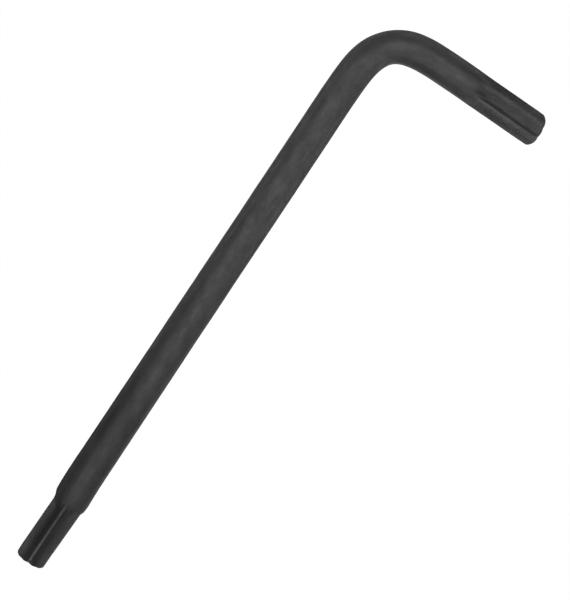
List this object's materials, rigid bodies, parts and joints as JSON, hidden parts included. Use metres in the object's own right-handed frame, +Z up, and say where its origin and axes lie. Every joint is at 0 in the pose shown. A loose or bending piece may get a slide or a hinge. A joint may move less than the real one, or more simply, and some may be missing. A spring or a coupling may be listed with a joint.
{
  "type": "star key",
  "caption": "L-shaped star key: a round black steel bar bent at a right angle, with a lobed star driver tip on both the long and the short arm, for turning star-recess screws by hand.",
  "frame": {"origin": "centre of the bounding box in plan, on the flat surface that the key lies on", "axes": "+X along the long arm, from its star tip towards the elbow; the short arm points to -Y; +Z up from the surface, square to the plane of the L"},
  "size_m": [0.0524, 0.0166, 0.0028],
  "materials": {
    "black_steel": "black oxide over drawn steel, satin, faintly mottled, rubbed brighter along the star lobes"
  },
  "bodies": {
    "root": {"long_star_tip": "black_steel", "long_arm": "black_steel", "elbow": "black_steel", "short_arm": "black_steel", "short_star_tip": "black_steel"}
  },
  "joints": []
}
